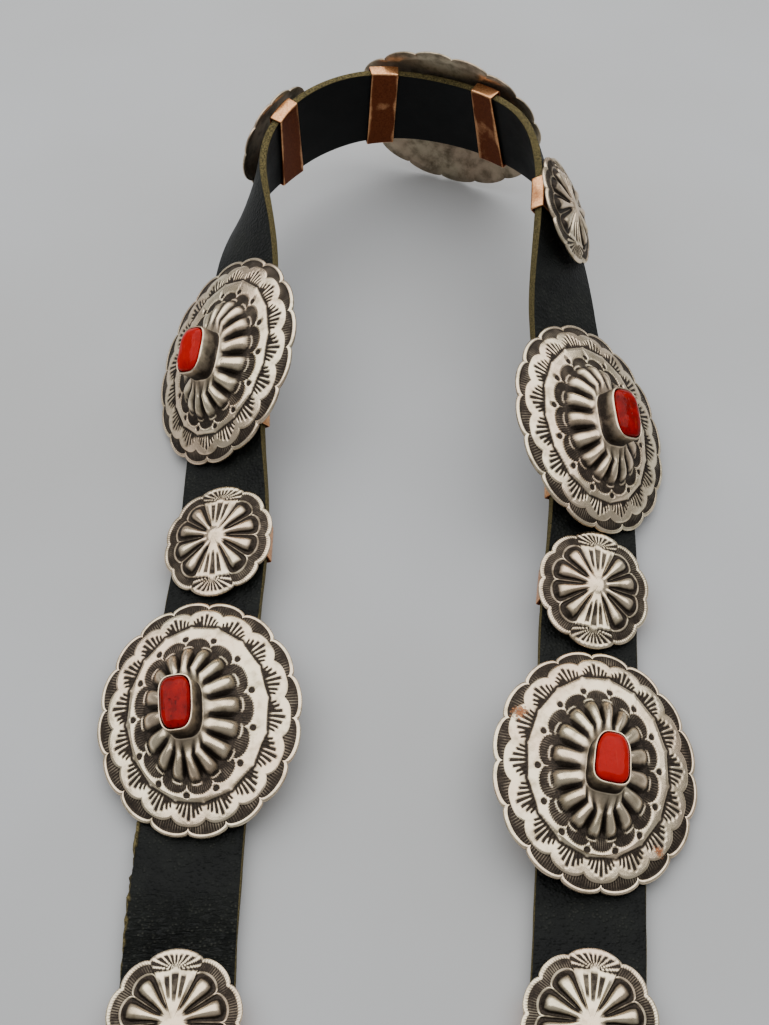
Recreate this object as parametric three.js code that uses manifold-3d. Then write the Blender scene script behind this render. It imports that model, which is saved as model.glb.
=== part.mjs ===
// Medallion belt: a leather strap lying in a U, carrying domed silver medallions on copper loops.
// Millimetres, +Z up. The belt rests on z = 0, its length runs along Y and both its ends point to -Y.
import * as THREE from "three";
import Module from "manifold-3d";

// Strap
const STRAP_WIDTH = 31.75;
const STRAP_THICKNESS = 2.8;
const SECTIONS_PER_ROW = 5;
const ROW_SPACING = 28.4;

// Large medallion: long axis along the strap
const LARGE_LENGTH = 77.4;
const LARGE_WIDTH = 63.5;
const LARGE_GAUGE = 0.9;
const LARGE_DOME = 5.5;
const LARGE_SCALLOPS = 16;
const LARGE_NOTCH = 0.045;
const LARGE_STANDOFF = 0.7;
const LARGE_HOLLOW_TOP = 8.8;
const PLATE_POINTS = 32;
const RIM_POINTS = 64;

// Bezel and coral on the large medallion, heights from the rim's plane
const BEZEL_FOOT = 10.2;
const BEZEL_TOP = 16.9;
const BEZEL_WALL = 0.6;
const CUP_FLOOR = 10.5;
const CORAL_SEAT = 10.8;
const CORAL_SHOULDER = 17.8;
const CORAL_CROWN = 18.4;
const CORAL_TOP = 18.6;

// Small medallion
const SMALL_LENGTH = 41.4;
const SMALL_WIDTH = 37.7;
const SMALL_GAUGE = 0.8;
const SMALL_DOME = 2.2;
const SMALL_NOTCH = 0.07;
const SMALL_END_LOBE = 50;
const SMALL_STANDOFF = 1.85;
const SMALL_HOLLOW_TOP = 2.7;
const BOSS_SHOULDER = 4.1;
const BOSS_CROWN = 4.6;
const BOSS_TOP = 4.7;

// Copper loops that the strap runs through
const LOOP_WIDTH = 12;
const LOOP_THICKNESS = 0.8;
const LOOP_OUTER_CORNER = 0.9;
const LOOP_INNER_CORNER = 0.15;

// Clearance between pieces that lie against each other, and between a loop and the strap inside it
const GAP = 0.35;
const LOOP_GAP = 0.45;

// Left end: the strap is folded round the buckle's bar. Right end: a rounded tip with punched holes.
const FOLD_ROW = 0.8;
const FLAP_LENGTH = 26;
const SLOT_WIDTH = 5.5;
const SLOT_DEPTH = 4;
const TIP_ROW = 33.1;
const HOLE_DIAMETER = 4.2;
const HOLE_SPACING = 12.5;
const HOLE_COUNT = 4;
const FIRST_HOLE = 17;

// Buckle, measured from its bar
const BUCKLE_REACH = 30;
const BUCKLE_HALF_WIDTH = 21.5;
const BUCKLE_SIDE = 4.3;
const BUCKLE_HALF_THICKNESS = 1.5;
const BUCKLE_BACK = 3.5;
const BUCKLE_CORNER = 7;
const WINDOW_CORNER = 1.2;
const BUCKLE_DROOP = 5;
const TONGUE_WIDTH = 3;
const TONGUE_THICKNESS = 1.8;
const TONGUE_TIP_RISE = 2.1;

// Middle of the belt's box in the rows' own frame, which becomes the part's origin
const ORIGIN_X = 4.55;
const ORIGIN_Y = 217.14;

// Control rows of the strap's midline. bank is how far its grain side leans outwards from level, degrees.
const STRAP_ROWS = [
  { x: -52.5, y: 0, z: 10.6, bank: 0 },
  { x: -53.7, y: 28, z: 9.4, bank: 0 },
  { x: -55, y: 56.5, z: 4.6, bank: 0 },
  { x: -56, y: 85, z: 2.7, bank: 0 },
  { x: -57, y: 113.5, z: 2.8, bank: 0 },
  { x: -56.5, y: 141.5, z: 3, bank: 1 },
  { x: -55.5, y: 168.5, z: 5.2, bank: 7 },
  { x: -56.5, y: 196, z: 6.6, bank: 7 },
  { x: -54.5, y: 224, z: 6.5, bank: 9 },
  { x: -53, y: 252.5, z: 7.6, bank: 18 },
  { x: -55, y: 280, z: 11.2, bank: 34 },
  { x: -53.5, y: 305.5, z: 19.3, bank: 36.5 },
  { x: -50, y: 331.5, z: 27.2, bank: 36 },
  { x: -50.5, y: 358, z: 31.6, bank: 48 },
  { x: -50, y: 383.5, z: 34.2, bank: 77 },
  { x: -38, y: 408, z: 36.5, bank: 91 },
  { x: -16, y: 426, z: 36.8, bank: 91 },
  { x: 10, y: 430, z: 34.5, bank: 86 },
  { x: 36, y: 420.5, z: 35.2, bank: 84 },
  { x: 54, y: 401, z: 40, bank: 80 },
  { x: 61, y: 375.5, z: 42.8, bank: 67 },
  { x: 62.5, y: 348.5, z: 36.6, bank: 52 },
  { x: 62, y: 322, z: 28.4, bank: 36 },
  { x: 65, y: 295.5, z: 21.4, bank: 29 },
  { x: 69.5, y: 269.5, z: 14.7, bank: 30 },
  { x: 69, y: 242.5, z: 8.5, bank: 21 },
  { x: 65, y: 215, z: 5.3, bank: 9 },
  { x: 63, y: 187, z: 5, bank: 8 },
  { x: 62, y: 159.5, z: 5.8, bank: 9 },
  { x: 59.5, y: 132, z: 3.2, bank: 2 },
  { x: 57, y: 104.5, z: 2.8, bank: 0 },
  { x: 53.5, y: 77, z: 2.8, bank: 0 },
  { x: 50, y: 50, z: 2.2, bank: 0 },
  { x: 46.5, y: 22.5, z: 1.4, bank: 0 },
  { x: 43, y: -4.5, z: 1.4, bank: 0 },
];

// Large medallions. row: place on the strap; aside: shift across it; lift: added standoff where the strap
// twists; turn and lean: degrees about its own axes; loops: where its two loops sit along the strap.
const LARGE = [
  { place: "left_front", row: 6.42, aside: -0.2, lift: 0.3, turn: 5.5, lean: -0.5, loops: [-22, 22] },
  { place: "left_back", row: 11.14, aside: 0.3, lift: 1.1, turn: -3.6, lean: 0, loops: [-22, 22] },
  { place: "back", row: 17.54, aside: 3.2, lift: -3.35, turn: 5, lean: 0.7, loops: [-28, 20.5] },
  { place: "right_back", row: 23.52, aside: 0.6, lift: 1.1, turn: -2.6, lean: 1, loops: [-22, 22] },
  { place: "right_front", row: 27.855, aside: 0.6, lift: 0.4, turn: -4.7, lean: 2.3, loops: [-22, 22] },
];

// Each large medallion's face, in the same order. stamped: how far its scallops and petals are turned from
// the oval's long axis, degrees; along and across: the offset of the bezel's foot from the middle; lean: how
// far outwards the bezel's rim stands over its foot; length and width: the stone's.
const FACES = [
  { stamped: -9, along: -1.9, across: 2.2, lean: 1.5, length: 16.2, width: 9.2 },
  { stamped: 1.5, along: -2.6, across: -0.3, lean: 1.1, length: 15.4, width: 9.4 },
  { stamped: 0, along: 0, across: 1, lean: 0.8, length: 15.4, width: 10 },
  { stamped: -10, along: 1.8, across: 0.5, lean: 1.3, length: 16.7, width: 9.4 },
  { stamped: 6.5, along: 3.1, across: 0.1, lean: 0.1, length: 14.8, width: 11.2 },
];

// Small medallions, with the same columns
const SMALL = [
  { place: "left_end", row: 3.16, aside: 0, lift: 0, turn: 0.5, lean: -0.9 },
  { place: "left_middle", row: 8.62, aside: -0.3, lift: 0.5, turn: -0.4, lean: 0 },
  { place: "back_left", row: 14.91, aside: -1.5, lift: 0.2, turn: -6.4, lean: 0 },
  { place: "back_right", row: 20.46, aside: -0.6, lift: 0.6, turn: 3.6, lean: -2.3 },
  { place: "right_middle", row: 25.67, aside: -0.2, lift: 0.9, turn: 0, lean: 0 },
  { place: "right_end", row: 30.52, aside: 0.4, lift: 0, turn: -2.2, lean: 0.2 },
];

// Raised petals of the large medallion, from their feet to the bezel. An inset is how far in from the
// plate's oval a ring lies, rise is measured from the rim's plane, and drift is the share of the bezel's
// offset that a ring follows.
const LARGE_PETALS = [
  { ridgeInset: 16.8, valleyInset: 18.8, ridgeRise: 4.9, valleyRise: 4.9, drift: 0 },
  { ridgeInset: 18.4, valleyInset: 20, ridgeRise: 7, valleyRise: 5.4, drift: 0.15 },
  { ridgeInset: 22.4, valleyInset: 22.8, ridgeRise: 9.2, valleyRise: 7.2, drift: 0.5 },
  { ridgeInset: 25, valleyInset: 25.2, ridgeRise: 10, valleyRise: 9.2, drift: 1 },
];
const LARGE_HOLLOW = [
  { inset: 27.5, rise: 8.2, drift: 1 },
  { inset: 24.4, rise: 6.3, drift: 0.5 },
  { inset: 21, rise: 4.3, drift: 0 },
];

// Where the plates' lower and upper faces have their rings: insets, and shares of the half axes
const LARGE_LOWER_INSETS = [14.5, 5];
const LARGE_UPPER_INSETS = [2.8, 9.9];
const SMALL_LOWER_REACHES = [0.6, 0.85];
const SMALL_UPPER_REACHES = [0.86];

// Raised petals of the small medallion. Its two end lobes carry none, so their ridge stays low.
const SMALL_PETALS = [
  { ridgeReach: 0.78, valleyReach: 0.66, ridgeRise: 1.9, valleyRise: 2.3, endRise: 2 },
  { ridgeReach: 0.69, valleyReach: 0.6, ridgeRise: 3.2, valleyRise: 2.4, endRise: 2.4 },
  { ridgeReach: 0.42, valleyReach: 0.38, ridgeRise: 3.9, valleyRise: 3, endRise: 3.1 },
];

const SILVER = { color: 0xb9b3a8, roughness: 0.35, metalness: 1 };
const CORAL = { color: 0xc41e12, roughness: 0.2, metalness: 0 };
const COPPER = { color: 0xa9623f, roughness: 0.4, metalness: 1 };
const LEATHER = { color: 0x1d1e1c, roughness: 0.6, metalness: 0 };

const wasm = await Module();
wasm.setup();

const degrees = THREE.MathUtils.degToRad;

// Uniform cubic B-spline over the control rows: the strap's midline, its slope and its bank.
function strapFrame(row) {
  const last = STRAP_ROWS.length - 2;
  const start = THREE.MathUtils.clamp(Math.floor(row), 1, last - 1);
  const t = row - start;
  const weights = [(1 - t) ** 3, 3 * t ** 3 - 6 * t * t + 4, -3 * t ** 3 + 3 * t * t + 3 * t + 1, t ** 3];
  const slopes = [-3 * (1 - t) ** 2, 9 * t * t - 12 * t, -9 * t * t + 6 * t + 3, 3 * t * t];
  const rows = STRAP_ROWS.slice(start - 1, start + 3);
  const blend = (key, factors) => rows.reduce((sum, r, i) => sum + (r[key] * factors[i]) / 6, 0);
  const point = new THREE.Vector3(blend("x", weights), blend("y", weights), blend("z", weights));
  const along = new THREE.Vector3(blend("x", slopes), blend("y", slopes), blend("z", slopes)).normalize();
  return bankedFrame(point, along, blend("bank", weights));
}

// along: down the strap; out: off its grain side; across: towards its outer or lower edge.
function bankedFrame(point, along, bank) {
  const side = new THREE.Vector3(-along.y, along.x, 0).normalize();
  const up = new THREE.Vector3().crossVectors(along, side).negate();
  if (up.z < 0) up.negate();
  const out = up.multiplyScalar(Math.cos(degrees(bank))).addScaledVector(side, Math.sin(degrees(bank)));
  const across = new THREE.Vector3().crossVectors(out, along);
  return { point, along, across, out };
}

// A point given in a frame's own directions.
function placed(frame, along, across, out) {
  return frame.point
    .clone()
    .addScaledVector(frame.along, along)
    .addScaledVector(frame.across, across)
    .addScaledVector(frame.out, out);
}

// A closed skin through a list of rings. Neighbouring rings may differ in their number of points, and a
// ring of one point is a pole. Rings run from the bottom pole over the rim to the top pole.
function skin(rings) {
  const points = rings.flat();
  const starts = [];
  let total = 0;
  for (const ring of rings) {
    starts.push(total);
    total += ring.length;
  }
  const faces = [];
  for (let k = 0; k + 1 < rings.length; k += 1) {
    const lower = rings[k].length;
    const upper = rings[k + 1].length;
    const lowerAt = (i) => starts[k] + (i % lower);
    const upperAt = (i) => starts[k + 1] + (i % upper);
    let i = 0;
    let j = 0;
    while (i < lower || j < upper) {
      const lowerIsNext = i < lower && (i + 0.5) / lower <= (j + 0.5) / upper;
      if (lower > 1 && (upper === 1 || j >= upper || lowerIsNext)) {
        faces.push(lowerAt(i), lowerAt(i + 1), upperAt(j));
        i += 1;
      } else {
        faces.push(lowerAt(i), upperAt(j + 1), upperAt(j));
        j += 1;
      }
      if (lower === 1 && j >= upper) break;
      if (upper === 1 && i >= lower) break;
    }
  }
  const geometry = new THREE.BufferGeometry().setFromPoints(points);
  geometry.setIndex(faces);
  return geometry;
}

function mesh(name, geometry, finish) {
  const made = new THREE.Mesh(geometry, new THREE.MeshStandardMaterial(finish));
  made.name = name;
  return made;
}

function toSolid(geometry) {
  return new wasm.Manifold(
    new wasm.Mesh({
      numProp: 3,
      vertProperties: new Float32Array(geometry.getAttribute("position").array),
      triVerts: new Uint32Array(geometry.index.array),
    }),
  );
}

function fromSolid(solid) {
  const result = solid.getMesh();
  const geometry = new THREE.BufferGeometry();
  geometry.setAttribute("position", new THREE.BufferAttribute(result.vertProperties, result.numProp));
  geometry.setIndex(new THREE.BufferAttribute(result.triVerts, 1));
  return geometry;
}

// Rectangular section of the strap, in a frame.
function strapSection(frame, halfWidth = STRAP_WIDTH / 2) {
  const half = STRAP_THICKNESS / 2;
  return [
    placed(frame, 0, -halfWidth, -half),
    placed(frame, 0, halfWidth, -half),
    placed(frame, 0, halfWidth, half),
    placed(frame, 0, -halfWidth, half),
  ];
}

// Frames round the buckle's bar: the flap on the table, then the half turn up to the strap's own start.
function foldFrames() {
  const start = strapFrame(FOLD_ROW);
  const slope = Math.asin(-start.along.z);
  const radius = (start.point.z - STRAP_THICKNESS / 2) / (1 + Math.cos(slope));
  const bar = start.point.clone().addScaledVector(start.out, -radius);
  const heading = new THREE.Vector3(start.along.x, start.along.y, 0).normalize();
  const turned = (angle) => {
    const out = new THREE.Vector3(0, 0, -Math.cos(angle)).addScaledVector(heading, -Math.sin(angle));
    const along = new THREE.Vector3().crossVectors(start.across, out);
    return { point: bar.clone().addScaledVector(out, radius), along, across: start.across, out };
  };
  const under = turned(0);
  const flap = [1, 0.5].map((share) => ({
    ...under,
    point: under.point.clone().addScaledVector(heading, FLAP_LENGTH * share),
  }));
  const turn = Math.PI - slope;
  const steps = 9;
  const arc = Array.from({ length: steps }, (_, i) => turned((turn * i) / steps));
  return { frames: [...flap, ...arc], bar, heading, across: start.across, radius };
}

const fold = foldFrames();

// Rows where each copper loop has its sections.
function loopStations(row) {
  return [-0.5, 0, 0.5].map((share) => row + (share * LOOP_WIDTH) / ROW_SPACING);
}

// Rows of the strap's sections: the loops' own, so that both bend alike, and even steps between them.
function strapStations(from, to) {
  const nearLoop = 0.1;
  const loops = loopRows().map(loopStations);
  const free = [];
  const count = Math.round((to - from) * SECTIONS_PER_ROW);
  for (let i = 0; i <= count; i += 1) {
    const row = from + ((to - from) * i) / count;
    const covered = loops.some(([first, , last]) => row > first - nearLoop && row < last + nearLoop);
    if (i === 0 || i === count || !covered) free.push(row);
  }
  return [...free, ...loops.flat()].sort((a, b) => a - b);
}

function loopRows() {
  const behindLarge = LARGE.flatMap(({ row, loops }) => loops.map((offset) => row + offset / ROW_SPACING));
  return [...behindLarge, ...SMALL.map(({ row }) => row)];
}

function strapGeometry() {
  const sections = fold.frames.map((frame) => strapSection(frame));
  const tipRadius = STRAP_WIDTH / 2;
  const body = TIP_ROW - tipRadius / ROW_SPACING;
  for (const row of strapStations(FOLD_ROW, body)) {
    sections.push(strapSection(strapFrame(row)));
  }
  const tipSteps = 6;
  for (let i = 1; i < tipSteps; i += 1) {
    const angle = (Math.PI / 2) * (i / tipSteps);
    const row = body + (tipRadius * Math.sin(angle)) / ROW_SPACING;
    sections.push(strapSection(strapFrame(row), tipRadius * Math.cos(angle)));
  }
  const last = sections[sections.length - 1];
  let solid = toSolid(skin([[centreOf(sections[0])], ...sections, [centreOf(last)]]));
  for (let i = 0; i < HOLE_COUNT; i += 1) {
    const row = TIP_ROW - (FIRST_HOLE + i * HOLE_SPACING) / ROW_SPACING;
    solid = solid.subtract(toSolid(punch(strapFrame(row))));
  }
  return fromSolid(solid.subtract(toSolid(tongueSlot())));
}

function punch(frame) {
  const sides = 10;
  const depth = STRAP_THICKNESS;
  const ring = (height) =>
    Array.from({ length: sides }, (_, i) => {
      const angle = (2 * Math.PI * i) / sides;
      const radius = HOLE_DIAMETER / 2;
      return placed(frame, radius * Math.cos(angle), radius * Math.sin(angle), height);
    });
  return skin([[placed(frame, 0, 0, -depth)], ring(-depth), ring(depth), [placed(frame, 0, 0, depth)]]);
}

// The slot in the fold that the tongue comes through.
function tongueSlot() {
  const reach = fold.radius + STRAP_THICKNESS;
  const frame = {
    point: fold.bar,
    along: fold.heading,
    across: fold.across,
    out: new THREE.Vector3().crossVectors(fold.heading, fold.across),
  };
  const ring = (height) => [
    placed(frame, -reach, -SLOT_WIDTH / 2, height),
    placed(frame, SLOT_DEPTH, -SLOT_WIDTH / 2, height),
    placed(frame, SLOT_DEPTH, SLOT_WIDTH / 2, height),
    placed(frame, -reach, SLOT_WIDTH / 2, height),
  ];
  return skin([[placed(frame, 0, 0, -reach)], ring(-reach), ring(reach), [placed(frame, 0, 0, reach)]]);
}

// Outline of the large medallion: equal scallops, a notch at the angle where they start.
function largeOutline(points, rise, start) {
  return Array.from({ length: points }, (_, i) => {
    const angle = (2 * Math.PI * i) / points;
    const lobe = Math.abs(Math.sin((angle * LARGE_SCALLOPS) / 2));
    const reach = 1 - LARGE_NOTCH * (1 - Math.sqrt(lobe));
    return new THREE.Vector3(
      (LARGE_LENGTH / 2) * reach * Math.cos(angle + start),
      (LARGE_WIDTH / 2) * reach * Math.sin(angle + start),
      rise,
    );
  });
}

// Height of the large plate's dome over its rim's plane, at an inset from its oval.
function largeDome(inset) {
  const span = (LARGE_LENGTH + LARGE_WIDTH) / 4;
  return LARGE_DOME * (1 - (1 - inset / span) ** 2);
}

// Height of the small plate's dome over its rim's plane, at a share of its half axes.
function smallDome(share) {
  return SMALL_DOME * (1 - share * share);
}

// One ring of the large medallion, from an angle on. inset and rise are given for each point.
function largeRing(points, start, inset, rise, offset = [0, 0]) {
  return Array.from({ length: points }, (_, i) => {
    const angle = start + (2 * Math.PI * i) / points;
    return new THREE.Vector3(
      (LARGE_LENGTH / 2 - inset(i)) * Math.cos(angle) + offset[0],
      (LARGE_WIDTH / 2 - inset(i)) * Math.sin(angle) + offset[1],
      rise(i),
    );
  });
}

// Middle of a bezel at a height: it stands on its foot's middle and leans from there.
function stoneMiddle({ along, across, lean }, rise) {
  const climbed = Math.max(0, (rise - BEZEL_FOOT) / (BEZEL_TOP - BEZEL_FOOT));
  return [along, across + lean * climbed];
}

// Rounded rectangle that the bezel and the coral share, scaled by share and then grown by grow.
function stoneRing(bezel, share, grow, rise) {
  const points = 16;
  const squareness = 0.6;
  const [x, y] = stoneMiddle(bezel, rise);
  return Array.from({ length: points }, (_, i) => {
    const angle = (2 * Math.PI * i) / points;
    const c = Math.cos(angle);
    const s = Math.sin(angle);
    return new THREE.Vector3(
      ((bezel.length / 2) * share + grow) * Math.sign(c) * Math.abs(c) ** squareness + x,
      ((bezel.width / 2) * share + grow) * Math.sign(s) * Math.abs(s) ** squareness + y,
      rise,
    );
  });
}

function stonePole(bezel, rise) {
  return [new THREE.Vector3(...stoneMiddle(bezel, rise), rise)];
}

function largeMedallion(bezel) {
  const start = degrees(bezel.stamped);
  const drifted = (drift) => [bezel.along * drift, bezel.across * drift];
  const hollow = LARGE_HOLLOW.map(({ inset, rise, drift }) =>
    largeRing(
      LARGE_SCALLOPS,
      start,
      () => inset,
      () => rise,
      drifted(drift),
    ),
  );
  const face = (inset, gauge) =>
    largeRing(
      PLATE_POINTS,
      start,
      () => inset,
      () => gauge + largeDome(inset),
    );
  const petals = LARGE_PETALS.map((r) =>
    largeRing(
      2 * LARGE_SCALLOPS,
      start,
      (i) => (i % 2 ? r.ridgeInset : r.valleyInset),
      (i) => (i % 2 ? r.ridgeRise : r.valleyRise),
      drifted(r.drift),
    ),
  );
  const cup = (grow, rise) => stoneRing(bezel, 1, grow, rise);
  return skin([
    stonePole(bezel, LARGE_HOLLOW_TOP),
    ...hollow,
    ...LARGE_LOWER_INSETS.map((inset) => face(inset, 0)),
    largeOutline(RIM_POINTS, 0, start),
    largeOutline(RIM_POINTS, LARGE_GAUGE, start),
    ...LARGE_UPPER_INSETS.map((inset) => face(inset, LARGE_GAUGE)),
    ...petals,
    cup(GAP + BEZEL_WALL, BEZEL_FOOT),
    cup(GAP + BEZEL_WALL, BEZEL_TOP),
    cup(GAP, BEZEL_TOP),
    cup(GAP, CUP_FLOOR),
    stonePole(bezel, CUP_FLOOR),
  ]);
}

function coralStone(bezel) {
  const ring = (share, rise) => stoneRing(bezel, share, 0, rise);
  return skin([
    stonePole(bezel, CORAL_SEAT),
    ring(0.96, CORAL_SEAT),
    ring(1, BEZEL_TOP),
    ring(0.9, CORAL_SHOULDER),
    ring(0.6, CORAL_CROWN),
    stonePole(bezel, CORAL_TOP),
  ]);
}

// The small medallion's lobes: a wide one at each end of the long axis, four on each side between them.
function smallLobeAngles(pointsPerLobe) {
  const sideLobe = (180 - SMALL_END_LOBE) / 4;
  const widths = [SMALL_END_LOBE, sideLobe, sideLobe, sideLobe, sideLobe];
  const angles = [];
  let start = -SMALL_END_LOBE / 2;
  for (const width of [...widths, ...widths]) {
    for (let i = 0; i < pointsPerLobe; i += 1) {
      angles.push({ angle: degrees(start + (width * i) / pointsPerLobe), part: i / pointsPerLobe });
    }
    start += width;
  }
  return angles;
}

function smallRing(pointsPerLobe, reach, rise) {
  return smallLobeAngles(pointsPerLobe).map(({ angle, part }, i) => {
    const lobe = Math.floor(i / pointsPerLobe);
    const share = reach(part, lobe);
    return new THREE.Vector3(
      (SMALL_LENGTH / 2) * share * Math.cos(angle),
      (SMALL_WIDTH / 2) * share * Math.sin(angle),
      rise(part, lobe),
    );
  });
}

function smallMedallion() {
  const scalloped = (part) => 1 - SMALL_NOTCH * (1 - Math.sqrt(Math.sin(Math.PI * part)));
  const plain = (points, share, rise) =>
    smallRing(
      points,
      () => share,
      () => rise,
    );
  const face = (share, gauge) => plain(2, share, gauge + smallDome(share));
  const petals = SMALL_PETALS.map((r) =>
    smallRing(
      2,
      (part, lobe) => (part > 0 && lobe % 5 > 0 ? r.ridgeReach : r.valleyReach),
      (part, lobe) => (part > 0 ? (lobe % 5 > 0 ? r.ridgeRise : r.endRise) : r.valleyRise),
    ),
  );
  return skin([
    [new THREE.Vector3(0, 0, SMALL_HOLLOW_TOP)],
    plain(1, 0.3, SMALL_HOLLOW_TOP - 0.1),
    ...SMALL_LOWER_REACHES.map((share) => face(share, 0)),
    smallRing(4, scalloped, () => 0),
    smallRing(4, scalloped, () => SMALL_GAUGE),
    ...SMALL_UPPER_REACHES.map((share) => face(share, SMALL_GAUGE)),
    ...petals,
    plain(1, 0.18, BOSS_SHOULDER),
    plain(1, 0.1, BOSS_CROWN),
    [new THREE.Vector3(0, 0, BOSS_TOP)],
  ]);
}

// Places a medallion's geometry on the strap, standoff above its grain side.
function onStrap(geometry, { row, aside, lift, turn, lean }, standoff) {
  const frame = strapFrame(row);
  const point = placed(frame, 0, aside, STRAP_THICKNESS / 2 + standoff + lift);
  const basis = new THREE.Matrix4().makeBasis(frame.along, frame.across, frame.out).setPosition(point);
  const tilt = new THREE.Matrix4().makeRotationX(degrees(-lean));
  const spin = new THREE.Matrix4().makeRotationZ(degrees(turn));
  return geometry.applyMatrix4(basis.multiply(tilt).multiply(spin));
}

// A copper strip bent round the strap and closed behind it, following the strap's own twist.
function loopGeometry(row) {
  const section = (frame, grow, corner) => {
    const w = STRAP_WIDTH / 2 + LOOP_GAP + grow;
    const h = STRAP_THICKNESS / 2 + LOOP_GAP + grow;
    const half = [
      [w - corner, -h],
      [w, -h + corner],
      [w, h - corner],
      [w - corner, h],
    ];
    const outline = [...half, ...half.map(([across, out]) => [-across, -out])];
    return outline.map(([across, out]) => placed(frame, 0, across, out));
  };
  const frames = loopStations(row).map(strapFrame);
  const outer = frames.map((frame) => section(frame, LOOP_THICKNESS, LOOP_OUTER_CORNER));
  const inner = frames.map((frame) => section(frame, 0, LOOP_INNER_CORNER)).reverse();
  return closedTube([...outer, ...inner]);
}

// A skin through rings of equal size whose last ring joins the first.
function closedTube(rings) {
  const size = rings[0].length;
  const faces = [];
  const at = (k, i) => (k % rings.length) * size + (i % size);
  for (let k = 0; k < rings.length; k += 1) {
    for (let i = 0; i < size; i += 1) {
      faces.push(at(k, i), at(k, i + 1), at(k + 1, i + 1));
      faces.push(at(k, i), at(k + 1, i + 1), at(k + 1, i));
    }
  }
  const geometry = new THREE.BufferGeometry().setFromPoints(rings.flat());
  geometry.setIndex(faces);
  return geometry;
}

// One plain piece: frame, bar and tongue together. Its own X points away from the strap.
function buckleGeometry() {
  const width = 2 * BUCKLE_HALF_WIDTH;
  const half = BUCKLE_HALF_THICKNESS;
  const outline = roundedBox(-BUCKLE_BACK, BUCKLE_REACH, width, BUCKLE_CORNER, 4);
  const far = BUCKLE_REACH - BUCKLE_SIDE;
  const opening = roundedBox(half, far, width - 2 * BUCKLE_SIDE, WINDOW_CORNER, 2);
  const frame = prism(outline, -half, half).subtract(prism(opening, -2 * half, 2 * half));
  return fromSolid(frame.add(toSolid(tongueGeometry())));
}

// The tongue runs from inside the bar to the far side of the frame and rests on it.
function tongueGeometry() {
  const ring = (x, rise) => [
    new THREE.Vector3(x, -TONGUE_WIDTH / 2, rise - TONGUE_THICKNESS / 2),
    new THREE.Vector3(x, TONGUE_WIDTH / 2, rise - TONGUE_THICKNESS / 2),
    new THREE.Vector3(x, TONGUE_WIDTH / 2, rise + TONGUE_THICKNESS / 2),
    new THREE.Vector3(x, -TONGUE_WIDTH / 2, rise + TONGUE_THICKNESS / 2),
  ];
  const start = ring(-0.5, 0);
  const end = ring(BUCKLE_REACH - 1, TONGUE_TIP_RISE);
  return skin([[centreOf(start)], start, end, [centreOf(end)]]);
}

function centreOf(ring) {
  return ring.reduce((sum, p) => sum.add(p), new THREE.Vector3()).divideScalar(ring.length);
}

// Corner points of a rectangle from near to far along X, its corners rounded with short chords.
function roundedBox(near, far, width, radius, chords) {
  const corners = [
    { x: far - radius, y: width / 2 - radius, from: 0 },
    { x: near + radius, y: width / 2 - radius, from: 90 },
    { x: near + radius, y: -width / 2 + radius, from: 180 },
    { x: far - radius, y: -width / 2 + radius, from: 270 },
  ];
  return corners.flatMap(({ x, y, from }) =>
    Array.from({ length: chords + 1 }, (_, i) => {
      const angle = degrees(from + (90 * i) / chords);
      return [x + radius * Math.cos(angle), y + radius * Math.sin(angle)];
    }),
  );
}

function prism(outline, low, high) {
  const ring = (z) => outline.map(([x, y]) => new THREE.Vector3(x, y, z));
  return toSolid(skin([[centreOf(ring(low))], ring(low), ring(high), [centreOf(ring(high))]]));
}

function placeBuckle(geometry) {
  const away = fold.heading.clone().negate();
  const side = new THREE.Vector3().crossVectors(new THREE.Vector3(0, 0, 1), away);
  const basis = new THREE.Matrix4().makeBasis(away, side, new THREE.Vector3(0, 0, 1)).setPosition(fold.bar);
  return geometry.applyMatrix4(basis.multiply(new THREE.Matrix4().makeRotationY(degrees(BUCKLE_DROOP))));
}

const belt = new THREE.Group();
belt.add(mesh("strap", strapGeometry(), LEATHER));
belt.add(mesh("buckle", placeBuckle(buckleGeometry()), SILVER));
LARGE.forEach((one, i) => {
  const [first, second] = one.loops.map((offset) => one.row + offset / ROW_SPACING);
  const medallion = onStrap(largeMedallion(FACES[i]), one, LARGE_STANDOFF);
  belt.add(mesh(`medallion_large_${one.place}`, medallion, SILVER));
  belt.add(mesh(`coral_${one.place}`, onStrap(coralStone(FACES[i]), one, LARGE_STANDOFF), CORAL));
  belt.add(mesh(`copper_loop_${one.place}_a`, loopGeometry(first), COPPER));
  belt.add(mesh(`copper_loop_${one.place}_b`, loopGeometry(second), COPPER));
});
for (const one of SMALL) {
  belt.add(mesh(`medallion_small_${one.place}`, onStrap(smallMedallion(), one, SMALL_STANDOFF), SILVER));
  belt.add(mesh(`copper_loop_${one.place}`, loopGeometry(one.row), COPPER));
}
belt.position.set(-ORIGIN_X, -ORIGIN_Y, 0);

export default belt;
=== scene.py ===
import math

import bmesh
import bpy
import numpy as np
from mathutils import Matrix, Vector


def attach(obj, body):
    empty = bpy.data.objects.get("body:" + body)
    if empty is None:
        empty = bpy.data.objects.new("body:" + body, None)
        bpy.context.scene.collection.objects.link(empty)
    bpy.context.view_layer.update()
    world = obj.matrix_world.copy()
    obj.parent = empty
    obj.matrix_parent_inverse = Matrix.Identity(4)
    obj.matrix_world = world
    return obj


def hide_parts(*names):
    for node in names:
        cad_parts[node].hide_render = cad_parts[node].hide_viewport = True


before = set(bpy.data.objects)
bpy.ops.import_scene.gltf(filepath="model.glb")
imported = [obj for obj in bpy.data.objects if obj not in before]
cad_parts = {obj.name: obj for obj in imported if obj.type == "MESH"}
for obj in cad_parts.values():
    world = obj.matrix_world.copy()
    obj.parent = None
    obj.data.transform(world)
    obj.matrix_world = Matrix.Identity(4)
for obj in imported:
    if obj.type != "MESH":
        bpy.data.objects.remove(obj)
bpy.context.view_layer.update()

# The belt is drawn in millimetres and set in place in metres
MM = 0.001

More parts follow.
